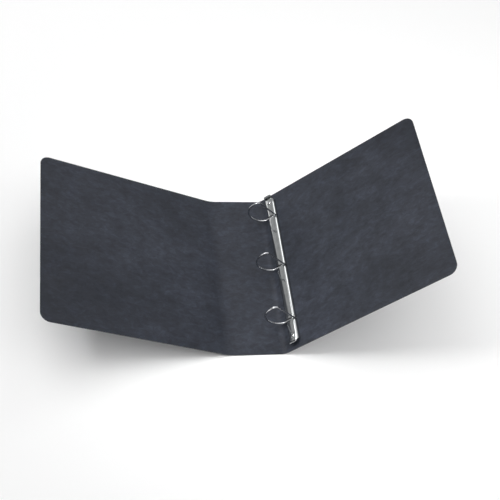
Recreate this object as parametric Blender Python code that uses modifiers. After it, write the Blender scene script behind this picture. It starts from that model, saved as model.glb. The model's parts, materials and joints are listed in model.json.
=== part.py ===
"""Three-ring pressboard binder, lying open on its spine, with D-rings on the back cover.

Metres, +Z up. The origin is on the underside of the spine, midway along and across it.
+Y runs along the row of rings, -X towards the front cover and +X towards the back cover.
Each cover has its own slanted frame: e runs along the board away from the spine crease,
h stands square to the board, and both start on the middle of the board's thickness.
"""

import math

import bmesh
import bpy
from mathutils import Matrix, Vector

MM = 0.001

# Boards
BOARD_LENGTH = 320 * MM
BOARD_THICKNESS = 1.2 * MM
SPINE_WIDTH = 92 * MM  # between the two lines where the board planes cross
COVER_WIDTH = 321 * MM  # from that line to the outer edge
CORNER_RADIUS = 16 * MM
FRONT_ANGLE = math.radians(21.7)
BACK_ANGLE = math.radians(46.65)
FRONT_CREASE_RADIUS = 55 * MM
BACK_CREASE_RADIUS = 15 * MM
HINGE_RADIUS = 15 * MM  # the covers turn about a line this far inside the crease
CREASE_STEPS = 8

# Ring metal, in the back cover's frame
METAL_CENTRE = 24.5 * MM
CHANNEL_LENGTH = 297 * MM
CHANNEL_HALF_WIDTH = 9.5 * MM
CHANNEL_HEIGHT = 8 * MM
CHANNEL_SHEET = 1.0 * MM
CHANNEL_CURVE = 3.0  # exponent of the arched section: 2 is an ellipse, more is squarer
CHANNEL_STEPS = 20
BLADE_LENGTH = 289 * MM
BLADE_SHEET = 1.0 * MM
BLADE_PIVOT = 7 * MM  # from the metal's centre line
BLADE_PIVOT_HEIGHT = 4.0 * MM
BLADE_OVERHANG = 0.3 * MM
BLADE_CLOSED_TILT = math.radians(3.25)
BLADE_NOTCH_DEPTH = 9.2 * MM
BLADE_NOTCH_HALF_WIDTH = 3.3 * MM
GAP = 0.3 * MM

# Rings
RING_PITCH = 107.95 * MM
WIRE_RADIUS = 1.5 * MM
POST_E = 32.5 * MM
RING_LEFT_E = -2.5 * MM
APEX_E = 24 * MM
APEX_H = 58.6 * MM
BELLY_H = 31.6 * MM  # where the curved side reaches furthest from the post
POST_CORNER_DROP = 5.5 * MM
FOOT_START_E = 14.5 * MM
FOOT_END_E = 28.3 * MM
FOOT_H = 6.3 * MM  # the curved half's straight foot lies on the blade
POST_FOOT_H = 4.9 * MM
ARC_STEPS = 12
SLOT_HALF_LENGTH = 2.2 * MM
CURVED_SLOT_END_E = 28.8 * MM
POST_SLOT_BOTTOM = 3.7 * MM
SLOT_INNER_MARGIN = 1.8 * MM
SLOT_OUTER_MARGIN = 2.4 * MM

# Triggers
TRIGGER_PIVOT_Y = 146.5 * MM
TRIGGER_PIVOT_H = 2.4 * MM
TRIGGER_SHEET = 1.0 * MM
TONGUE_LENGTH = 2.5 * MM
TONGUE_HALF_WIDTH = 4.2 * MM
TAB_HALF_WIDTH = 7.5 * MM
TAB_BEND = (3 * MM, 4 * MM)  # radii of the bend up, and below of the lip curled outwards
TAB_LIP = (3 * MM, 2.8 * MM)
TAB_HEIGHT = 9.6 * MM

# Rivets
RIVET_Y = 139 * MM
RIVET_RADIUS = 2.5 * MM
RIVET_HEAD_RADIUS = 4.2 * MM
RIVET_HEAD_HEIGHT = 1.5 * MM
RIVET_TAIL_RADIUS = 3.8 * MM
RIVET_TAIL_HEIGHT = 0.8 * MM
RIVET_HOLE_RADIUS = 2.8 * MM
WASHER_RADIUS = 6 * MM
WASHER_THICKNESS = 0.8 * MM
ROUND_STEPS = 32

PRESSBOARD = ((0.048, 0.052, 0.066), 0.62, 0.0)
CREASED_BOARD = ((0.058, 0.062, 0.078), 0.66, 0.0)
NICKEL = ((0.62, 0.63, 0.64), 0.24, 1.0)
CHROME = ((0.68, 0.69, 0.71), 0.14, 1.0)
DARK_STEEL = ((0.3, 0.31, 0.32), 0.3, 1.0)


def clear_scene():
    for item in list(bpy.data.objects):
        bpy.data.objects.remove(item, do_unlink=True)


def new_collection(name):
    collection = bpy.data.collections.new(name)
    bpy.context.scene.collection.children.link(collection)
    return collection


def make_material(name, look):
    colour, roughness, metallic = look
    material = bpy.data.materials.new(name)
    material.use_nodes = True
    shader = material.node_tree.nodes["Principled BSDF"]
    shader.inputs["Base Color"].default_value = (*colour, 1)
    shader.inputs["Roughness"].default_value = roughness
    shader.inputs["Metallic"].default_value = metallic
    return material


def make_empty(name, location, rotation_y=0.0, parent=None):
    """A frame to hang pieces on; its local axes are e, y and h on a cover."""
    empty = bpy.data.objects.new(name, None)
    empty.location = location
    empty.rotation_euler = (0, rotation_y, 0)
    empty.parent = parent
    PARTS.objects.link(empty)
    return empty


def add_piece(name, mesh, look, parent=None, location=(0, 0, 0), rotation=(0, 0, 0)):
    piece = bpy.data.objects.new(name, mesh)
    mesh.materials.clear()
    mesh.materials.append(make_material(name, look))
    piece.location = location
    piece.rotation_euler = rotation
    piece.parent = parent
    PARTS.objects.link(piece)
    return piece


def curve_to_mesh(curve):
    """The curve's evaluated mesh, with its caps welded on."""
    holder = bpy.data.objects.new("outline", curve)
    bpy.context.scene.collection.objects.link(holder)
    bpy.context.view_layer.update()
    evaluated = holder.evaluated_get(bpy.context.evaluated_depsgraph_get())
    mesh = bpy.data.meshes.new_from_object(evaluated)
    bpy.data.objects.remove(holder, do_unlink=True)
    shape = bmesh.new()
    shape.from_mesh(mesh)
    bmesh.ops.remove_doubles(shape, verts=shape.verts, dist=0.00001)
    bmesh.ops.recalc_face_normals(shape, faces=shape.faces)
    shape.to_mesh(mesh)
    shape.free()
    return mesh


def add_spline(curve, points, cyclic):
    spline = curve.splines.new("POLY")
    spline.points.add(len(points) - 1)
    for target, point in zip(spline.points, points):
        target.co = (*point, 0, 1) if len(point) == 2 else (*point, 1)
    spline.use_cyclic_u = cyclic


def plate_mesh(name, outlines, thickness):
    """A flat plate, centred on z = 0, from its outline and the outlines of its holes."""
    curve = bpy.data.curves.new(name, "CURVE")
    curve.dimensions = "2D"
    curve.fill_mode = "BOTH"
    curve.extrude = thickness / 2
    for outline in outlines:
        add_spline(curve, outline, True)
    return curve_to_mesh(curve)


def wire_mesh(name, points):
    curve = bpy.data.curves.new(name, "CURVE")
    curve.dimensions = "3D"
    curve.bevel_depth = WIRE_RADIUS
    curve.bevel_resolution = 2
    curve.use_fill_caps = True
    add_spline(curve, points, False)
    mesh = curve_to_mesh(curve)
    mesh.shade_smooth()
    mesh.set_sharp_from_angle(angle=math.radians(50))
    return mesh


def sheet_piece(name, section, half_widths, thickness, offset, look, parent, location=(0, 0, 0)):
    """Bent sheet: a line of (across, up) points, each drawn out sideways by its half width.

    The result lies with its section in the local X-Z plane and its width along Y.
    """
    shape = bmesh.new()
    rows = []
    for (across, up), half in zip(section, half_widths):
        rows.append([shape.verts.new((across, side * half, up)) for side in (-1, 1)])
    for (a, b), (c, d) in zip(rows, rows[1:]):
        shape.faces.new((a, c, d, b))
    mesh = bpy.data.meshes.new(name)
    shape.to_mesh(mesh)
    shape.free()
    mesh.shade_smooth()
    piece = add_piece(name, mesh, look, parent, location)
    solidify = piece.modifiers.new("sheet", "SOLIDIFY")
    solidify.thickness = thickness
    solidify.offset = offset
    solidify.use_even_offset = True
    return piece


def cut(piece, cutter):
    boolean = piece.modifiers.new("cut", "BOOLEAN")
    boolean.operation = "DIFFERENCE"
    boolean.solver = "EXACT"
    boolean.object = cutter


def keep_as_cutter(cutter, parent):
    cutter.hide_render = True
    cutter.display_type = "WIRE"
    cutter.parent = parent
    for collection in list(cutter.users_collection):
        collection.objects.unlink(cutter)
    CUTTERS.objects.link(cutter)
    return cutter


def box_cutter(name, low, high, parent):
    bpy.ops.mesh.primitive_cube_add(size=1)
    cutter = bpy.context.object
    cutter.name = name
    low, high = Vector(low), Vector(high)
    cutter.data.transform(Matrix.Diagonal((*(high - low), 1)))
    cutter.location = (low + high) / 2
    return keep_as_cutter(cutter, parent)


def round_cutter(name, radius, depth, location, parent):
    bpy.ops.mesh.primitive_cylinder_add(vertices=ROUND_STEPS, radius=radius, depth=depth)
    cutter = bpy.context.object
    cutter.name = name
    cutter.location = location
    return keep_as_cutter(cutter, parent)


def arc(centre, radii, start, end, steps, with_end=True):
    """Points on part of an ellipse; the angles are in degrees."""
    count = steps + 1 if with_end else steps
    points = []
    for step in range(count):
        angle = math.radians(start + (end - start) * step / steps)
        points.append((centre[0] + radii[0] * math.cos(angle), centre[1] + radii[1] * math.sin(angle)))
    return points


def cover_outline(start, end):
    """A board from start to end along e, with its two outer corners rounded."""
    half = BOARD_LENGTH / 2
    radius = CORNER_RADIUS
    radii = (radius, radius)
    points = [(start, -half)]
    points += arc((end - radius, -half + radius), radii, -90, 0, 8)
    points += arc((end - radius, half - radius), radii, 0, 90, 8)
    points.append((start, half))
    return points


def build_boards():
    """The spine, the two covers and the flexing creases between them."""
    front_reach = FRONT_CREASE_RADIUS * math.tan(FRONT_ANGLE / 2)
    back_reach = BACK_CREASE_RADIUS * math.tan(BACK_ANGLE / 2)
    half_spine = SPINE_WIDTH / 2
    half_length = BOARD_LENGTH / 2
    left, right = -half_spine + front_reach, half_spine - back_reach
    spine_outline = [(left, -half_length), (right, -half_length), (right, half_length), (left, half_length)]
    spine = plate_mesh("spine_panel", [spine_outline], BOARD_THICKNESS)
    add_piece("spine_panel", spine, PRESSBOARD, location=(0, 0, BOARD_THICKNESS / 2))

    front = plate_mesh("front_cover", [cover_outline(front_reach + GAP, COVER_WIDTH)], BOARD_THICKNESS)
    add_piece("front_cover", front, PRESSBOARD, FRONT_FRAME)
    back = plate_mesh("back_cover", [cover_outline(back_reach + GAP, COVER_WIDTH)], BOARD_THICKNESS)
    back_cover = add_piece("back_cover", back, PRESSBOARD, BACK_FRAME)
    for end, sign in (("far", 1), ("near", -1)):
        place = (METAL_CENTRE, sign * RIVET_Y, 0)
        hole = round_cutter(f"board_hole_{end}", RIVET_HOLE_RADIUS, 6 * MM, place, BACK_FRAME)
        cut(back_cover, hole)

    creases = (
        ("front_crease", -1, left, FRONT_CREASE_RADIUS, FRONT_ANGLE),
        ("back_crease", 1, right, BACK_CREASE_RADIUS, BACK_ANGLE),
    )
    for name, side, start, radius, angle in creases:
        margin = GAP / radius
        section = []
        for step in range(CREASE_STEPS + 1):
            turn = margin + (angle - margin) * step / CREASE_STEPS
            across = start + side * radius * math.sin(turn)
            up = BOARD_THICKNESS / 2 + radius * (1 - math.cos(turn))
            section.append((across, up))
        if side < 0:
            section.reverse()
        sheet_piece(name, section, [half_length] * len(section), BOARD_THICKNESS, 0, CREASED_BOARD, None)


def channel_section():
    """The arched section of the housing's outer face, from one foot to the other."""
    points = []
    for step in range(CHANNEL_STEPS + 1):
        angle = math.pi * (1 - step / CHANNEL_STEPS)
        across = abs(math.cos(angle)) ** (2 / CHANNEL_CURVE) * math.copysign(1, math.cos(angle))
        up = math.sin(angle) ** (2 / CHANNEL_CURVE) if 0 < step < CHANNEL_STEPS else 0
        foot = BOARD_THICKNESS / 2 + GAP
        points.append((METAL_CENTRE + CHANNEL_HALF_WIDTH * across, foot + CHANNEL_HEIGHT * up))
    return points


def build_channel():
    section = channel_section()
    half_lengths = [CHANNEL_LENGTH / 2] * len(section)
    channel = sheet_piece(
        "ring_channel", section, half_lengths, CHANNEL_SHEET, -1, NICKEL, BACK_FRAME
    )
    left = METAL_CENTRE - CHANNEL_HALF_WIDTH
    slot_top = CHANNEL_HEIGHT + 3 * MM
    for number, y in enumerate(RING_PLACES, 1):
        curved = box_cutter(
            f"curved_slot_{number}",
            (left - MM, y - SLOT_HALF_LENGTH, 0),
            (CURVED_SLOT_END_E, y + SLOT_HALF_LENGTH, slot_top),
            BACK_FRAME,
        )
        post = box_cutter(
            f"post_slot_{number}",
            (POST_E - SLOT_INNER_MARGIN, y - SLOT_HALF_LENGTH, POST_SLOT_BOTTOM),
            (POST_E + SLOT_OUTER_MARGIN, y + SLOT_HALF_LENGTH, slot_top),
            BACK_FRAME,
        )
        cut(channel, curved)
        cut(channel, post)
    for end, sign in (("far", 1), ("near", -1)):
        place = (METAL_CENTRE, sign * RIVET_Y, CHANNEL_HEIGHT)
        cut(channel, round_cutter(f"channel_hole_{end}", RIVET_HOLE_RADIUS, 8 * MM, place, BACK_FRAME))


def build_rivets():
    top = BOARD_THICKNESS / 2 + GAP + CHANNEL_HEIGHT + GAP
    washer_top = -BOARD_THICKNESS / 2 - GAP
    tail_top = washer_top - WASHER_THICKNESS - GAP
    tail_bottom = tail_top - RIVET_TAIL_HEIGHT
    head = arc((0, top), (RIVET_HEAD_RADIUS, RIVET_HEAD_HEIGHT), 90, 0, 5)
    profile = [(0, head[0][1])] + head[1:]
    profile += [(RIVET_RADIUS, top), (RIVET_RADIUS, tail_top)]
    profile += [(RIVET_TAIL_RADIUS, tail_top), (RIVET_TAIL_RADIUS - 0.4 * MM, tail_bottom)]
    profile += [(0, tail_bottom)]
    whole_turn = (0, 360)
    for end, sign in (("far", 1), ("near", -1)):
        mesh = bpy.data.meshes.new(f"rivet_{end}")
        shape = bmesh.new()
        points = [shape.verts.new((radius, 0, height)) for radius, height in profile]
        for first, second in zip(points, points[1:]):
            shape.edges.new((first, second))
        shape.to_mesh(mesh)
        shape.free()
        place = (METAL_CENTRE, sign * RIVET_Y, 0)
        rivet = add_piece(f"rivet_{end}", mesh, NICKEL, BACK_FRAME, place)
        screw = rivet.modifiers.new("turn", "SCREW")
        screw.steps = ROUND_STEPS
        screw.render_steps = ROUND_STEPS
        screw.use_merge_vertices = True
        screw.merge_threshold = 0.00005

        circles = [
            arc((0, 0), (radius, radius), *whole_turn, ROUND_STEPS, with_end=False)
            for radius in (WASHER_RADIUS, RIVET_HOLE_RADIUS)
        ]
        washer = plate_mesh(f"washer_{end}", circles, WASHER_THICKNESS)
        height = washer_top - WASHER_THICKNESS / 2
        add_piece(f"washer_{end}", washer, NICKEL, BACK_FRAME, (METAL_CENTRE, sign * RIVET_Y, height))


def build_blades():
    """Two blades meeting along the channel's middle, each turning about its outer edge."""
    inner = BLADE_PIVOT / math.cos(BLADE_CLOSED_TILT) - GAP / 2
    outer = -BLADE_OVERHANG
    notch = inner - BLADE_NOTCH_HALF_WIDTH
    end = BLADE_LENGTH / 2
    outline = [
        (outer, -end),
        (notch, -end),
        (notch, -end + BLADE_NOTCH_DEPTH),
        (inner, -end + BLADE_NOTCH_DEPTH),
        (inner, end - BLADE_NOTCH_DEPTH),
        (notch, end - BLADE_NOTCH_DEPTH),
        (notch, end),
        (outer, end),
    ]
    for name, pivot, side in (("curved_blade", CURVED_PIVOT, 1), ("post_blade", POST_PIVOT, -1)):
        points = [(side * across, along) for across, along in outline]
        mesh = plate_mesh(name, [points], BLADE_SHEET)
        add_piece(name, mesh, DARK_STEEL, pivot, rotation=(0, side * BLADE_CLOSED_TILT, 0))


def curved_half_path():
    """From the split at the top, round the belly, then flat on the blade in its slot."""
    apex_radii = (APEX_E - RING_LEFT_E, APEX_H - BELLY_H)
    foot_radii = (FOOT_START_E - RING_LEFT_E, BELLY_H - FOOT_H)
    path = [(APEX_E - GAP / 2, APEX_H)]
    path += arc((APEX_E, BELLY_H), apex_radii, 90, 180, ARC_STEPS)[1:]
    path += arc((FOOT_START_E, BELLY_H), foot_radii, 180, 270, ARC_STEPS)[1:]
    path.append((FOOT_END_E, FOOT_H))
    return path


def post_half_path():
    """From the split at the top, over the corner, straight down the post."""
    corner = (APEX_E, APEX_H - POST_CORNER_DROP)
    radii = (POST_E - APEX_E, POST_CORNER_DROP)
    path = [(APEX_E + GAP / 2, APEX_H)]
    path += arc(corner, radii, 90, 0, ARC_STEPS)[1:]
    path += [(POST_E, APEX_H / 2), (POST_E, POST_FOOT_H)]
    return path


def build_rings():
    halves = (
        ("ring_curved", CURVED_PIVOT, curved_half_path()),
        ("ring_post", POST_PIVOT, post_half_path()),
    )
    for prefix, pivot, path in halves:
        shift = pivot.location
        for number, y in enumerate(RING_PLACES, 1):
            name = f"{prefix}_{number}"
            points = [(e - shift.x, y, h - shift.z) for e, h in path]
            add_piece(name, wire_mesh(name, points), CHROME, pivot)


def build_triggers():
    """Levers at both ends: a tongue under the blades and a tab that is pushed outwards."""
    section = [(-TONGUE_LENGTH, 0), (0.5 * MM, 0)]
    section += arc((MM, TAB_BEND[1]), TAB_BEND, -90, 0, 6)
    lip_start = section[-1][0]
    section += arc((lip_start + TAB_LIP[0], TAB_HEIGHT - TAB_LIP[1]), TAB_LIP, 180, 90, 5)
    half_widths = [TONGUE_HALF_WIDTH] * 3 + [TAB_HALF_WIDTH] * (len(section) - 3)
    for end, pivot in (("far", FAR_PIVOT), ("near", NEAR_PIVOT)):
        sheet_piece(f"trigger_{end}", section, half_widths, TRIGGER_SHEET, 0, NICKEL, pivot)


clear_scene()
PARTS = new_collection("ring_binder")
CUTTERS = new_collection("cutters")
RING_PLACES = [RING_PITCH * step for step in (-1, 0, 1)]

front_foot = HINGE_RADIUS * math.tan(FRONT_ANGLE / 2)
back_foot = HINGE_RADIUS * math.tan(BACK_ANGLE / 2)
hinge_height = BOARD_THICKNESS / 2 + HINGE_RADIUS
FRONT_JOINT = make_empty("front_joint", (-SPINE_WIDTH / 2 + front_foot, 0, hinge_height), -FRONT_ANGLE)
FRONT_JOINT.rotation_euler.z = math.pi  # its e axis runs the other way
BACK_JOINT = make_empty("back_joint", (SPINE_WIDTH / 2 - back_foot, 0, hinge_height), -BACK_ANGLE)
FRONT_FRAME = make_empty("front_frame", (-front_foot, 0, -HINGE_RADIUS), parent=FRONT_JOINT)
BACK_FRAME = make_empty("back_frame", (-back_foot, 0, -HINGE_RADIUS), parent=BACK_JOINT)
CURVED_PIVOT = make_empty(
    "curved_pivot", (METAL_CENTRE - BLADE_PIVOT, 0, BLADE_PIVOT_HEIGHT), parent=BACK_FRAME
)
POST_PIVOT = make_empty(
    "post_pivot", (METAL_CENTRE + BLADE_PIVOT, 0, BLADE_PIVOT_HEIGHT), parent=BACK_FRAME
)
FAR_PIVOT = make_empty("far_pivot", (METAL_CENTRE, TRIGGER_PIVOT_Y, TRIGGER_PIVOT_H), parent=BACK_FRAME)
FAR_PIVOT.rotation_euler = (0, 0, math.pi / 2)
NEAR_PIVOT = make_empty("near_pivot", (METAL_CENTRE, -TRIGGER_PIVOT_Y, TRIGGER_PIVOT_H), parent=BACK_FRAME)
NEAR_PIVOT.rotation_euler = (0, 0, -math.pi / 2)

build_boards()
build_channel()
build_rivets()
build_blades()
build_rings()
build_triggers()
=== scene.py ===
import json
import math

import bmesh
import bpy
from mathutils import Matrix, Vector


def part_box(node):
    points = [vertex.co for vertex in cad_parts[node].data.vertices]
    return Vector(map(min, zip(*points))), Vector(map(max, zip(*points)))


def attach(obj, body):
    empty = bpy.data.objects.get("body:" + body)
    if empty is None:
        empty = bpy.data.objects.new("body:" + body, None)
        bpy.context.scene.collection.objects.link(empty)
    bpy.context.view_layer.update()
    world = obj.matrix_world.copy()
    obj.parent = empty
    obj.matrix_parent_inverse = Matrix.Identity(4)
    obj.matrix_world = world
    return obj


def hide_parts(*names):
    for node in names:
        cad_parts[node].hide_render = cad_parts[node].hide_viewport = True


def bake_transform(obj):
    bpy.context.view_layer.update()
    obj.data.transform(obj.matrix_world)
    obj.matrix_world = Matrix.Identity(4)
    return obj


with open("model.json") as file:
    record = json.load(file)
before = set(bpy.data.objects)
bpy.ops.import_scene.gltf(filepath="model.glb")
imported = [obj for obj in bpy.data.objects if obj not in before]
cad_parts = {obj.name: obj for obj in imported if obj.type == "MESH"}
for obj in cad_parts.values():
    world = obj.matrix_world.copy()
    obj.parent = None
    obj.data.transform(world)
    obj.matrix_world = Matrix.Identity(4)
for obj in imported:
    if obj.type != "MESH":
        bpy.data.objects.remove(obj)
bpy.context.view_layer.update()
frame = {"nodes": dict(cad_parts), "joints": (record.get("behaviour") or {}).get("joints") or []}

MM = 0.001

# Camera: the binder is seen from above its open side
CAMERA_YAW = math.radians(19.65)
CAMERA_ELEVATION = math.radians(52.04)
CAMERA_ROLL = math.radians(15.43)
CAMERA_TARGET = Vector((14.4, 52, 0)) * MM
CAMERA_DISTANCE = 1.650
CAMERA_LENS = 67.5
SENSOR_WIDTH = 36

# Boards. The sheet's places are in metres from the middle of the spine: across it, then along it
CORNER_RADIUS = 16 * MM
BOARD_STEP = 10 * MM
CREASE_STEP = 0.8 * MM
SCORE_DEPTH = 0.04 * MM
SCORE_WIDTH = 0.9 * MM
SCORE_STEP = 0.35 * MM
CORNER_STEPS = 14
BOARD_ROWS = 33
EDGE_BEVEL = 0.22 * MM
SAME_PLACE = 0.01 * MM

# Rings: e runs along the back cover, h square to it
WIRE_RADIUS = 1.5 * MM
WIRE_ROUNDING = 0.5 * MM
WIRE_SIDES = 24
WIRE_STEPS = 40
BELLY_DROP = 27 * MM  # from the ring's top down to its widest point
POST_CORNER_DROP = 5.5 * MM
FOOT_START_E = 14.5 * MM
SPLIT_GAP = 0.3 * MM  # between the two halves at the top of a ring

# Channel
SHEET = 1.0 * MM
SECTION_POWER = 3.0  # of the arched section, which is half a superellipse
SECTION_STEPS = 56
CHANNEL_STEP = 12 * MM
CHANNEL_END_RADIUS = 7 * MM
CHANNEL_BEVEL = 0.2 * MM
CUTTER_MARGIN = 5 * MM
SLOT_MARGIN = 3 * MM
SLOT_HALF_LENGTH = 2.2 * MM
SLOT_ROUNDING = 1.4 * MM
SLOT_END_MARGIN = 0.5 * MM
POST_SLOT_BOTTOM = 3.7 * MM
POST_SLOT_INWARD = 1.8 * MM
POST_SLOT_OUTWARD = 2.4 * MM

# Rivets and washers
TURN_STEPS = 64
TURN_SHARP_ANGLE = math.radians(40)
RIVET_LIFT = 0.3 * MM
RIVET_SHANK = 2.5 * MM
RIVET_TAIL = 0.8 * MM
RIVET_TAIL_EDGE = 0.3 * MM
RIVET_TAIL_SHARES = (0.9, 0.8)  # of the head's radius: the tail's widest part and its end
RIVET_DIMPLE = 0.5 * MM
WASHER_HOLE = 2.8 * MM
WASHER_BEVEL = 0.25 * MM
WASHER_HOLE_FLARE = 0.3 * MM

# Triggers
TONGUE_RUN = 3.5 * MM
TONGUE_HALF_WIDTH = 4.2 * MM
TAB_HALF_WIDTH = 7.5 * MM
TAB_BEND = (3 * MM, 4 * MM)
TAB_LIP_DROP = 2.8 * MM
TAB_ROUNDING = 1.6 * MM
TRIGGER_COLUMNS = 12

# Surroundings
FLOOR_SIZE = 60
FLOOR_DROP = 0.4 * MM
FLOOR_COLOUR = (0.97, 0.97, 0.97, 1)
WORLD_STRENGTH = 1.0
SKY = [(0.0, (0.6,) * 3), (0.3, (0.45,) * 3), (0.6, (0.45,) * 3), (0.85, (1, 1, 1))]
KEY_POWER = 8
FILL_POWER = 6
POOL_POWER = 0.6
BACK_POWER = 2


# ---------------------------------------------------------------- the frame's own measures

class Cover:
    """One cover board's slanted frame: e along the board, y along the spine, h square to it."""

    def __init__(self, side, joint_name, cover_node, spine_edge):
        joint = next(j for j in frame["joints"] if j["name"] == joint_name)
        self.side = side
        self.angle = -math.radians(joint["range_deg"][0])
        pivot = Vector(joint["pos_m"])
        self.pivot = pivot
        hinge_radius = pivot.z - THICKNESS / 2
        corner_x = pivot.x + side * hinge_radius * math.tan(self.angle / 2)
        self.corner = Vector((corner_x, 0, THICKNESS / 2))
        self.along = Vector((side * math.cos(self.angle), 0, math.sin(self.angle)))
        self.up = Vector((-side * math.sin(self.angle), 0, math.cos(self.angle)))
        self.reach = abs(corner_x - spine_edge)
        self.crease_radius = self.reach / math.tan(self.angle / 2)
        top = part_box(cover_node)[1].z - THICKNESS / 2 * math.cos(self.angle)
        self.width = (top - self.corner.z) / math.sin(self.angle)

    def point(self, e, y, h):
        return self.corner + self.along * e + Vector((0, y, 0)) + self.up * h

    def box(self, node):
        """Lowest and highest (e, y, h) of a CAD node, in this cover's frame."""
        places = []
        for vertex in frame["nodes"][node].data.vertices:
            away = vertex.co - self.corner
            places.append((away.dot(self.along), away.y, away.dot(self.up)))
        return Vector(map(min, zip(*places))), Vector(map(max, zip(*places)))

    def matrix(self):
        """Takes (e, y, h) to the row frame."""
        columns = (self.along, Vector((0, 1, 0)), self.up)
        turn = Matrix(columns).transposed().to_4x4()
        return Matrix.Translation(self.corner) @ turn


spine_low, spine_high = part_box("spine_panel")
THICKNESS = spine_high.z - spine_low.z
HALF_LENGTH = (spine_high.y - spine_low.y) / 2
FRONT = Cover(-1, "front_cover_hinge", "front_cover", spine_low.x)
BACK = Cover(1, "back_cover_hinge", "back_cover", spine_high.x)


# ---------------------------------------------------------------- materials

def node_tree(name):
    material = bpy.data.materials.new(name)
    material.use_nodes = True
    nodes = material.node_tree.nodes
    return material, nodes, material.node_tree.links, nodes["Principled BSDF"]


def noise(nodes, links, vector, scale, detail, roughness=0.55, distortion=0.0):
    """Cloud noise from 0 to 1, mostly between 0.3 and 0.7."""
    node = nodes.new("ShaderNodeTexNoise")
    node.inputs["Scale"].default_value = scale
    node.inputs["Detail"].default_value = detail
    node.inputs["Roughness"].default_value = roughness
    node.inputs["Distortion"].default_value = distortion
    links.new(vector, node.inputs["Vector"])
    return node.outputs["Fac"]


def ramp(nodes, links, value, stops):
    node = nodes.new("ShaderNodeValToRGB")
    elements = node.color_ramp.elements
    while len(elements) < len(stops):
        elements.new(0.5)
    for element, (place, colour) in zip(elements, stops):
        element.position = place
        element.color = (*colour, 1)
    links.new(value, node.inputs["Fac"])
    return node.outputs["Color"]


def remap(nodes, links, value, low, high):
    """Noise turned into a value that runs from low to high."""
    node = nodes.new("ShaderNodeMapRange")
    node.inputs["From Min"].default_value = 0.3
    node.inputs["From Max"].default_value = 0.7
    node.inputs["To Min"].default_value = low
    node.inputs["To Max"].default_value = high
    links.new(value, node.inputs["Value"])
    return node.outputs["Result"]


def stretched(nodes, links, vector, scale):
    node = nodes.new("ShaderNodeMapping")
    node.inputs["Scale"].default_value = scale
    links.new(vector, node.inputs["Vector"])
    return node.outputs["Vector"]


def add_bump(nodes, links, shader, height, strength, distance):
    bump = nodes.new("ShaderNodeBump")
    bump.inputs["Strength"].default_value = strength
    bump.inputs["Distance"].default_value = distance
    links.new(height, bump.inputs["Height"])
    links.new(bump.outputs["Normal"], shader.inputs["Normal"])


def multiplied(nodes, links, first, second):
    node = nodes.new("ShaderNodeMix")
    node.data_type = "RGBA"
    node.blend_type = "MULTIPLY"
    factor, a, b = (socket for socket in node.inputs if socket.enabled)
    factor.default_value = 1.0
    links.new(first, a)
    links.new(second, b)
    return next(socket for socket in node.outputs if socket.enabled)


def sheet_noise(nodes, links, sheet, scale, detail, roughness, distortion):
    """Noise on the board's face, its scale given across and along the spine."""
    vector = stretched(nodes, links, sheet, (*scale, 1))
    return noise(nodes, links, vector, 1.0, detail, roughness, distortion)


def pressboard_material():
    """Dense slate-blue board with a marbled, fibrous face, darker towards its outer edge."""
    material, nodes, links, shader = node_tree("pressboard")
    sheet_map = nodes.new("ShaderNodeUVMap")
    sheet_map.uv_map = "sheet"
    sheet = sheet_map.outputs["UV"]
    clouds = sheet_noise(nodes, links, sheet, (4.5, 7), 4, 0.6, 0.8)
    mottle = sheet_noise(nodes, links, sheet, (28, 44), 6, 0.66, 0.8)
    flecks = sheet_noise(nodes, links, sheet, (80, 135), 4, 0.6, 0.8)
    fibres = sheet_noise(nodes, links, sheet, (260, 900), 5, 0.6, 1.2)
    parts = nodes.new("ShaderNodeSeparateXYZ")
    links.new(sheet, parts.inputs["Vector"])
    outward = nodes.new("ShaderNodeMath")
    outward.operation = "ABSOLUTE"
    links.new(parts.outputs["X"], outward.inputs[0])
    layers = (
        (mottle, MARBLED),
        (flecks, FLECKED),
        (fibres, THREADS),
        (outward.outputs["Value"], OUTER_EDGE_DARKENING),
    )
    colour = ramp(nodes, links, clouds, [(0.32, BOARD_DARK), (0.68, BOARD_LIGHT)])
    for value, stops in layers:
        colour = multiplied(nodes, links, colour, ramp(nodes, links, value, stops))
    links.new(colour, shader.inputs["Base Color"])
    links.new(remap(nodes, links, mottle, 0.50, 0.66), shader.inputs["Roughness"])
    shader.inputs["Specular IOR Level"].default_value = 0.30
    add_bump(nodes, links, shader, fibres, 0.25, 0.00012)
    return material


def cut_edge_material():
    """The board's cut edge: paler, with fine layers."""
    material, nodes, links, shader = node_tree("board_edge")
    place = nodes.new("ShaderNodeTexCoord").outputs["Object"]
    grain = noise(nodes, links, place, 700, 5)
    links.new(ramp(nodes, links, grain, [(0.3, EDGE_DARK), (0.7, EDGE_LIGHT)]), shader.inputs["Base Color"])
    links.new(remap(nodes, links, grain, 0.65, 0.85), shader.inputs["Roughness"])
    shader.inputs["Specular IOR Level"].default_value = 0.25
    return material


def metal_material(name, dark, light, roughness, grain_scale, bump):
    """Drawn or plated metal: faint mottling, and lines along the part."""
    material, nodes, links, shader = node_tree(name)
    place = nodes.new("ShaderNodeTexCoord").outputs["Object"]
    patches = noise(nodes, links, place, 120, 4)
    lines = noise(nodes, links, stretched(nodes, links, place, grain_scale), 1.0, 4)
    links.new(ramp(nodes, links, patches, [(0.3, dark), (0.7, light)]), shader.inputs["Base Color"])
    links.new(remap(nodes, links, lines, *roughness), shader.inputs["Roughness"])
    shader.inputs["Metallic"].default_value = 1.0
    add_bump(nodes, links, shader, lines, bump, 0.00004)
    return material


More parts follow.
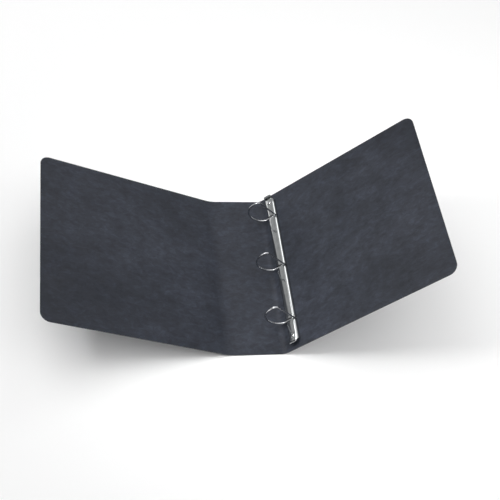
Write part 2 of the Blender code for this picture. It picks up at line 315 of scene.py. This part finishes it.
BOARD_DARK = (0.0158, 0.0189, 0.0270)
BOARD_LIGHT = (0.0292, 0.0335, 0.0454)
MARBLED = [(0.34, (0.72, 0.72, 0.73)), (0.5, (1, 1, 1)), (0.66, (1.28, 1.28, 1.29))]
FLECKED = [(0.38, (0.8, 0.8, 0.81)), (0.46, (1, 1, 1)), (0.54, (1, 1, 1)), (0.6, (1.22, 1.22, 1.24))]
THREADS = [(0.3, (0.88, 0.88, 0.89)), (0.7, (1.14, 1.14, 1.14))]
OUTER_EDGE_DARKENING = [(0.1, (1, 1, 1)), (0.38, (0.78, 0.78, 0.79))]  # darker towards the outer edge
EDGE_DARK = (0.07, 0.072, 0.075)
EDGE_LIGHT = (0.13, 0.13, 0.135)
PRESSBOARD = pressboard_material()
CUT_EDGE = cut_edge_material()
NICKEL = metal_material(
    "nickel_plate", (0.45, 0.47, 0.47), (0.52, 0.53, 0.54), (0.08, 0.13), (900, 12, 900), 0.02
)
CHROME = metal_material(
    "chrome_wire", (0.50, 0.51, 0.53), (0.57, 0.58, 0.60), (0.19, 0.24), (60, 90, 60), 0.01
)
STEEL = metal_material(
    "spring_steel", (0.26, 0.27, 0.28), (0.36, 0.37, 0.38), (0.28, 0.40), (900, 40, 900), 0.25
)


# ---------------------------------------------------------------- mesh helpers

def new_object(name, mesh, *materials):
    piece = bpy.data.objects.new(name, mesh)
    bpy.context.scene.collection.objects.link(piece)
    mesh.materials.clear()
    for material in materials:
        mesh.materials.append(material)
    return piece


def grid_mesh(rows, closed=False, uv=None):
    """Quads between rows of points; closed joins each row's end to its start."""
    shape = bmesh.new()
    grid = [[shape.verts.new(point) for point in row] for row in rows]
    layer = shape.loops.layers.uv.new("sheet") if uv else None
    count = len(grid[0])
    for i, (first, second) in enumerate(zip(grid, grid[1:])):
        for j in range(count if closed else count - 1):
            k = (j + 1) % count
            face = shape.faces.new((first[j], second[j], second[k], first[k]))
            face.smooth = True
            if uv:
                for loop, place in zip(face.loops, ((i, j), (i + 1, j), (i + 1, k), (i, k))):
                    loop[layer].uv = uv[place[0]][place[1]]
    return shape, grid


def finish_mesh(shape, name):
    bmesh.ops.recalc_face_normals(shape, faces=shape.faces)
    mesh = bpy.data.meshes.new(name)
    shape.to_mesh(mesh)
    shape.free()
    return mesh


def solidify(piece, thickness, offset, rim=0):
    sheet = piece.modifiers.new("sheet", "SOLIDIFY")
    sheet.thickness = thickness
    sheet.offset = offset
    sheet.use_even_offset = True
    sheet.material_offset_rim = rim


def soften(piece, width, segments=2, angle=40):
    bevel = piece.modifiers.new("edges", "BEVEL")
    bevel.width = width
    bevel.segments = segments
    bevel.limit_method = "ANGLE"
    bevel.angle_limit = math.radians(angle)


def cut(piece, cutter, operation="DIFFERENCE"):
    boolean = piece.modifiers.new("cut", "BOOLEAN")
    boolean.operation = operation
    boolean.solver = "EXACT"
    boolean.object = cutter


def apply_modifiers(piece):
    """Turns the modifiers into mesh, so that no cutter is needed any more."""
    bpy.context.view_layer.update()
    evaluated = piece.evaluated_get(bpy.context.evaluated_depsgraph_get())
    mesh = bpy.data.meshes.new_from_object(evaluated)
    piece.modifiers.clear()
    piece.data = mesh


def arc(centre, radii, start, end, steps):
    """Points on part of an ellipse, angles in degrees."""
    points = []
    for step in range(steps + 1):
        angle = math.radians(start + (end - start) * step / steps)
        points.append((centre[0] + radii[0] * math.cos(angle), centre[1] + radii[1] * math.sin(angle)))
    return points


# ---------------------------------------------------------------- boards

def sheet_point(cover, s):
    """The board's middle at a distance s from the middle of the spine: (place, normal)."""
    flat = abs(cover.corner.x) - cover.reach
    bend = cover.crease_radius * cover.angle
    if s <= flat:
        place, turn = Vector((cover.side * s, 0, THICKNESS / 2)), 0.0
    elif s <= flat + bend:
        turn = (s - flat) / cover.crease_radius
        across = flat + cover.crease_radius * math.sin(turn)
        up = THICKNESS / 2 + cover.crease_radius * (1 - math.cos(turn))
        place = Vector((cover.side * across, 0, up))
    else:
        turn = cover.angle
        place = cover.point(cover.reach + s - flat - bend, 0, 0)
    return place, Vector((-cover.side * math.sin(turn), 0, math.cos(turn)))


def spread(start, end, step):
    """Even stations from start, no more than a step apart, up to but not at the end."""
    count = max(1, math.ceil((end - start) / step))
    return [start + (end - start) * i / count for i in range(count)]


def sheet_stations(cover):
    """Where the columns of the board's mesh go, close together at the crease and its scores."""
    flat = abs(cover.corner.x) - cover.reach
    bend = cover.crease_radius * cover.angle
    total = flat + bend + cover.width - cover.reach
    scores = (flat, flat + bend)
    margin = 3 * SCORE_WIDTH
    stations = spread(0, flat - margin, BOARD_STEP)
    stations += spread(flat - margin, flat + margin, SCORE_STEP)
    stations += spread(flat + margin, flat + bend - margin, CREASE_STEP)
    stations += spread(flat + bend - margin, flat + bend + margin, SCORE_STEP)
    stations += spread(flat + bend + margin, total - CORNER_RADIUS, BOARD_STEP)
    for step in range(CORNER_STEPS + 1):
        quarter = math.pi / 2 * step / CORNER_STEPS
        stations.append(total - CORNER_RADIUS + CORNER_RADIUS * math.sin(quarter))
    return stations, scores, total


def open_middle(mesh):
    """Takes away the rim in the middle of the spine, where the two halves meet without a seam."""
    shape = bmesh.new()
    shape.from_mesh(mesh)
    rim = [face for face in shape.faces if all(abs(v.co.x) < SAME_PLACE for v in face.verts)]
    bmesh.ops.delete(shape, geom=rim, context="FACES")
    shape.to_mesh(mesh)
    shape.free()


def build_board(cover, name, replaced):
    """Half the spine, a crease and a cover as one continuous sheet that bends at the crease."""
    stations, scores, total = sheet_stations(cover)
    rows, places = [], []
    for s in stations:
        past = max(0.0, s - (total - CORNER_RADIUS))
        half = HALF_LENGTH - CORNER_RADIUS + math.sqrt(max(0.0, CORNER_RADIUS ** 2 - past ** 2))
        place, normal = sheet_point(cover, s)
        for score in scores:
            place = place - normal * SCORE_DEPTH * math.exp(-((s - score) / SCORE_WIDTH) ** 2)
        ys = [half * (2 * j / (BOARD_ROWS - 1) - 1) for j in range(BOARD_ROWS)]
        rows.append([place + Vector((0, y, 0)) for y in ys])
        places.append([(cover.side * s, y) for y in ys])
    shape, _ = grid_mesh(rows, uv=places)
    board = new_object(name, finish_mesh(shape, name), PRESSBOARD, CUT_EDGE)
    solidify(board, THICKNESS, 0, rim=1)
    apply_modifiers(board)
    open_middle(board.data)
    soften(board, EDGE_BEVEL)
    start, _ = sheet_point(cover, scores[0])
    end, _ = sheet_point(cover, scores[1])
    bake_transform(board)
    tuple(start)
    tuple(end)
    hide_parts(*replaced)


# ---------------------------------------------------------------- ring metal

def in_back_frame(mesh):
    mesh.transform(BACK.matrix())
    return mesh


def prism(name, outline, low, high):
    """A solid between two heights from an outline of (e, y) points."""
    shape = bmesh.new()
    bottom = [shape.verts.new((e, y, low)) for e, y in outline]
    top = [shape.verts.new((e, y, high)) for e, y in outline]
    shape.faces.new(bottom[::-1])
    shape.faces.new(top)
    for i in range(len(outline)):
        k = (i + 1) % len(outline)
        shape.faces.new((bottom[i], bottom[k], top[k], top[i]))
    mesh = in_back_frame(finish_mesh(shape, name))
    cutter = bpy.data.objects.new(name, mesh)
    bpy.context.scene.collection.objects.link(cutter)
    cutter.hide_render = True
    return cutter


def rounded_rectangle(low, high, radius, steps=8):
    (left, bottom), (right, top) = low, high
    radii = (radius, radius)
    points = arc((right - radius, bottom + radius), radii, -90, 0, steps)
    points += arc((right - radius, top - radius), radii, 0, 90, steps)
    points += arc((left + radius, top - radius), radii, 90, 180, steps)
    points += arc((left + radius, bottom + radius), radii, 180, 270, steps)
    return points


def ring_places():
    """(number, y) of the three rings, from their CAD nodes."""
    for number in (1, 2, 3):
        low, high = BACK.box(f"ring_post_{number}")
        yield number, (low.y + high.y) / 2


def channel_section(low, high):
    """The arch's outside from one edge to the other, as (e, h) points."""
    centre, half_width = (low.x + high.x) / 2, (high.x - low.x) / 2
    section = []
    for step in range(SECTION_STEPS + 1):
        angle = math.pi * (1 - step / SECTION_STEPS)
        across = math.copysign(abs(math.cos(angle)) ** (2 / SECTION_POWER), math.cos(angle))
        up = max(0.0, math.sin(angle)) ** (2 / SECTION_POWER)
        section.append((centre + half_width * across, low.z + (high.z - low.z) * up))
    return section


def slot_cutters(low, high):
    """At each ring, a slot for the curved half's foot and one for the post."""
    post_e = BACK.box("ring_post_1")[1].x - WIRE_RADIUS
    foot_end = BACK.box("ring_curved_1")[1].x
    spans = (
        (low.x - SLOT_MARGIN, foot_end + SLOT_END_MARGIN, low.z - MM),
        (post_e - POST_SLOT_INWARD, post_e + POST_SLOT_OUTWARD, POST_SLOT_BOTTOM),
    )
    for _, y in ring_places():
        for left, right, bottom in spans:
            corners = (left, y - SLOT_HALF_LENGTH), (right, y + SLOT_HALF_LENGTH)
            outline = rounded_rectangle(*corners, SLOT_ROUNDING)
            yield prism("slot", outline, bottom, high.z + CUTTER_MARGIN)


def build_channel():
    """The arched sheet channel, with rounded ends and a pair of slots at each ring."""
    low, high = BACK.box("ring_channel")
    stations = spread(low.y, high.y, CHANNEL_STEP) + [high.y]
    rows = [[(e, y, h) for y in stations] for e, h in channel_section(low, high)]
    shape, _ = grid_mesh(rows)
    mesh = in_back_frame(finish_mesh(shape, "channel_housing"))
    channel = new_object("channel_housing", mesh, NICKEL)
    middle = mesh.polygons[len(mesh.polygons) // 2]
    if middle.normal.dot(BACK.up) < 0:
        mesh.flip_normals()
    solidify(channel, SHEET, -1)
    outline = rounded_rectangle((low.x - MM, low.y), (high.x + MM, high.y), CHANNEL_END_RADIUS)
    plan = prism("plan", outline, low.z - CUTTER_MARGIN, high.z + CUTTER_MARGIN)
    cut(channel, plan, "INTERSECT")
    slots = list(slot_cutters(low, high))
    for slot in slots:
        cut(channel, slot)
    apply_modifiers(channel)
    soften(channel, CHANNEL_BEVEL, 2, 50)
    for cutter in (plan, *slots):
        bpy.data.objects.remove(cutter, do_unlink=True)
    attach(channel, "back_cover")
    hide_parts("ring_channel")


def tube_mesh(name, path, y):
    """A round wire along a path of (e, h) points, with softly rounded ends."""
    points = [Vector(point) for point in path]
    first = (points[1] - points[0]).normalized()
    last = (points[-1] - points[-2]).normalized()
    rounding = [
        (WIRE_ROUNDING * (1 - math.sin(bend)), WIRE_RADIUS - WIRE_ROUNDING * (1 - math.cos(bend)))
        for bend in map(math.radians, (90, 60, 30, 0))
    ]
    stations = [(points[0] + first * inset, first, radius) for inset, radius in rounding]
    for before, point, after in zip(points, points[1:], points[2:]):
        stations.append((point, (after - before).normalized(), WIRE_RADIUS))
    stations += [(points[-1] - last * inset, last, radius) for inset, radius in rounding[::-1]]
    rows = []
    for place, tangent, radius in stations:
        side = Vector((-tangent.y, tangent.x))
        row = []
        for step in range(WIRE_SIDES):
            angle = math.tau * step / WIRE_SIDES
            flat = place + side * radius * math.cos(angle)
            row.append((flat.x, y + radius * math.sin(angle), flat.y))
        rows.append(row)
    shape, grid = grid_mesh(rows, closed=True)
    for ring in (grid[0], grid[-1]):
        shape.faces.new(ring)
    return in_back_frame(finish_mesh(shape, name))


def build_rings():
    """Three D-rings, each a curved half on one blade and a straight post half on the other."""
    curved_low, curved_high = BACK.box("ring_curved_1")
    post_low, post_high = BACK.box("ring_post_1")
    left_e = curved_low.x + WIRE_RADIUS
    apex_e, apex_h = post_low.x - SPLIT_GAP / 2, curved_high.z - WIRE_RADIUS
    post_e = post_high.x - WIRE_RADIUS
    belly_h = apex_h - BELLY_DROP
    foot_h = curved_low.z + WIRE_RADIUS
    foot_radii = (FOOT_START_E - left_e, belly_h - foot_h)
    corner_radii = (post_e - apex_e, POST_CORNER_DROP)

    curved = [(apex_e - SPLIT_GAP / 2, apex_h)]
    curved += arc((apex_e, belly_h), (apex_e - left_e, BELLY_DROP), 90, 180, WIRE_STEPS)[1:]
    curved += arc((FOOT_START_E, belly_h), foot_radii, 180, 270, WIRE_STEPS)[1:]
    curved.append((curved_high.x, foot_h))

    post = [(apex_e + SPLIT_GAP / 2, apex_h)]
    post += arc((apex_e, apex_h - POST_CORNER_DROP), corner_radii, 90, 0, WIRE_STEPS)[1:]
    post += [(post_e, apex_h / 2), (post_e, post_low.z)]

    for number, y in ring_places():
        for half, path, body in (("curved", curved, "curved_side"), ("post", post, "post_side")):
            wire = new_object(f"wire_{half}_{number}", tube_mesh(f"wire_{half}", path, y), CHROME)
            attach(wire, body)
            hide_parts(f"ring_{half}_{number}")


def turned(name, profile, centre, material):
    """A round piece from a profile of (radius, h) points, standing on the board at (e, y)."""
    rows = []
    for radius, h in profile:
        row = []
        for step in range(TURN_STEPS):
            angle = math.tau * step / TURN_STEPS
            row.append((centre[0] + radius * math.cos(angle), centre[1] + radius * math.sin(angle), h))
        rows.append(row)
    shape, grid = grid_mesh(rows, closed=True)
    for ring in (grid[0], grid[-1]):
        shape.faces.new(ring)
    piece = new_object(name, in_back_frame(finish_mesh(shape, name)), material)
    piece.data.set_sharp_from_angle(angle=TURN_SHARP_ANGLE)
    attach(piece, "back_cover")
    return piece


def turned_ring(name, profile, centre):
    """A washer: a closed profile turned round, so no end faces."""
    rows = []
    for step in range(TURN_STEPS + 1):
        angle = math.tau * step / TURN_STEPS
        rows.append([
            (centre[0] + radius * math.cos(angle), centre[1] + radius * math.sin(angle), h)
            for radius, h in profile
        ])
    shape, _ = grid_mesh(rows)
    bmesh.ops.remove_doubles(shape, verts=shape.verts, dist=SAME_PLACE / 10)
    piece = new_object(name, in_back_frame(finish_mesh(shape, name)), NICKEL)
    piece.data.set_sharp_from_angle(angle=TURN_SHARP_ANGLE)
    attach(piece, "back_cover")
    return piece


def build_rivets():
    """Two rivets through the channel and the board, each with a washer outside."""
    for end in ("far", "near"):
        low, high = BACK.box(f"rivet_{end}")
        centre = ((low.x + high.x) / 2, (low.y + high.y) / 2)
        head = (high.x - low.x) / 2
        base = BACK.box("ring_channel")[1].z + RIVET_LIFT
        profile = [(radius, base + h) for radius, h in arc((0, 0), (head, high.z - base), 88, 0, 12)]
        profile += [(RIVET_SHANK, base), (RIVET_SHANK, low.z + RIVET_TAIL)]
        widest, end_radius = (head * share for share in RIVET_TAIL_SHARES)
        profile += [(widest, low.z + RIVET_TAIL), (widest, low.z + RIVET_TAIL_EDGE)]
        profile += [(end_radius, low.z), (RIVET_DIMPLE, low.z)]
        rivet = turned(f"rivet_turned_{end}", profile, centre, NICKEL)
        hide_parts(f"rivet_{end}")

        low, high = BACK.box(f"washer_{end}")
        outer, thickness = (high.x - low.x) / 2, high.z - low.z
        ring = [(outer - WASHER_BEVEL, low.z), (outer, low.z + WASHER_BEVEL), (outer, high.z)]
        ring += [(WASHER_HOLE, high.z), (WASHER_HOLE, low.z + thickness * 0.3)]
        ring += [(WASHER_HOLE + WASHER_HOLE_FLARE, low.z), (outer - WASHER_BEVEL, low.z)]
        washer = turned_ring(f"washer_turned_{end}", ring, centre)
        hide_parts(f"washer_{end}")


def build_triggers():
    """Bent sheet levers: a tongue under the blades, an upright tab and a lip curled outwards."""
    for end, side in (("far", 1), ("near", -1)):
        low, high = BACK.box(f"trigger_{end}")
        centre = (low.x + high.x) / 2
        inner = low.y if side > 0 else -high.y
        outer = high.y if side > 0 else -low.y
        base, top = low.z + SHEET / 2, high.z - SHEET / 2
        heel = inner + TONGUE_RUN
        section = [(inner + TONGUE_RUN * i / 4, base) for i in range(4)]
        section += arc((heel, base + TAB_BEND[1]), TAB_BEND, -90, 0, 14)
        lip = outer - heel - TAB_BEND[0]
        section += arc((outer, top - TAB_LIP_DROP), (lip, TAB_LIP_DROP), 180, 90, 12)
        rows = []
        for step, (y, h) in enumerate(section):
            along = (h - base) / (top - base)
            widen = min(1.0, along * 4)
            half = TONGUE_HALF_WIDTH + (TAB_HALF_WIDTH - TONGUE_HALF_WIDTH) * widen
            remaining = 1 - step / (len(section) - 1)
            half -= TAB_ROUNDING * max(0.0, 1 - remaining * 6) ** 2
            shares = [2 * j / TRIGGER_COLUMNS - 1 for j in range(TRIGGER_COLUMNS + 1)]
            rows.append([(centre + half * share, side * y, h) for share in shares])
        shape, _ = grid_mesh(rows)
        mesh = in_back_frame(finish_mesh(shape, f"lever_{end}"))
        lever = new_object(f"lever_{end}", mesh, NICKEL)
        solidify(lever, SHEET, 0)
        soften(lever, EDGE_BEVEL, 2, 50)
        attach(lever, f"trigger_{end}")
        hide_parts(f"trigger_{end}")


# ---------------------------------------------------------------- surroundings

def area_light(name, place, target, size, power, spread=180):
    data = bpy.data.lights.new(name, "AREA")
    data.shape = "DISK"
    data.size = size
    data.energy = power
    data.spread = math.radians(spread)
    light = bpy.data.objects.new(name, data)
    light.location = place
    light.rotation_euler = (Vector(target) - Vector(place)).to_track_quat("-Z", "Y").to_euler()
    bpy.context.scene.collection.objects.link(light)


def build_floor():
    bpy.ops.mesh.primitive_plane_add(size=FLOOR_SIZE, location=(0, 0, -FLOOR_DROP))
    floor = bpy.context.object
    floor.name = "floor"
    material, _, _, shader = node_tree("pale_floor")
    shader.inputs["Base Color"].default_value = FLOOR_COLOUR
    shader.inputs["Roughness"].default_value = 0.9
    shader.inputs["Specular IOR Level"].default_value = 0.1
    floor.data.materials.append(material)


def build_light():
    """A pale dome and four soft lamps."""
    world = bpy.data.worlds.new("studio")
    bpy.context.scene.world = world
    world.use_nodes = True
    nodes, links = world.node_tree.nodes, world.node_tree.links
    direction = nodes.new("ShaderNodeTexCoord").outputs["Generated"]
    parts = nodes.new("ShaderNodeSeparateXYZ")
    links.new(direction, parts.inputs["Vector"])
    sky = ramp(nodes, links, parts.outputs["Z"], SKY)
    links.new(sky, nodes["Background"].inputs["Color"])
    nodes["Background"].inputs["Strength"].default_value = WORLD_STRENGTH
    area_light("key", (-0.7, 0.4, 1.7), (0, 0, 0), 1.2, KEY_POWER)
    area_light("fill", (1.6, -0.5, 0.9), (0.35, 0, 0), 1.2, FILL_POWER)
    area_light("pool", (-0.8, -0.05, 1.0), (0.13, 0, 0.08), 0.4, POOL_POWER, 45)
    area_light("back", (0.35, 1.0, 1.35), (0.05, 0, 0), 0.6, BACK_POWER)


def build_camera():
    forward = Vector((
        math.sin(CAMERA_YAW) * math.cos(CAMERA_ELEVATION),
        math.cos(CAMERA_YAW) * math.cos(CAMERA_ELEVATION),
        -math.sin(CAMERA_ELEVATION),
    ))
    data = bpy.data.cameras.new("camera")
    data.lens = CAMERA_LENS
    data.sensor_width = SENSOR_WIDTH
    camera = bpy.data.objects.new("camera", data)
    bpy.context.scene.collection.objects.link(camera)
    turn = forward.to_track_quat("-Z", "Y").to_matrix() @ Matrix.Rotation(CAMERA_ROLL, 3, "Z")
    place = CAMERA_TARGET - forward * CAMERA_DISTANCE
    camera.matrix_world = Matrix.Translation(place) @ turn.to_4x4()
    bpy.context.scene.camera = camera


build_board(FRONT, "board_front", ("spine_panel", "front_crease", "front_cover"))
build_board(BACK, "board_back", ("back_crease", "back_cover"))
build_channel()
build_rings()
build_rivets()
build_triggers()
for blade in ("curved_blade", "post_blade"):
    node = frame["nodes"][blade]
    node.data.materials.clear()
    node.data.materials.append(STEEL)
build_floor()
build_light()
build_camera()
bpy.context.scene.view_settings.view_transform = "Standard"
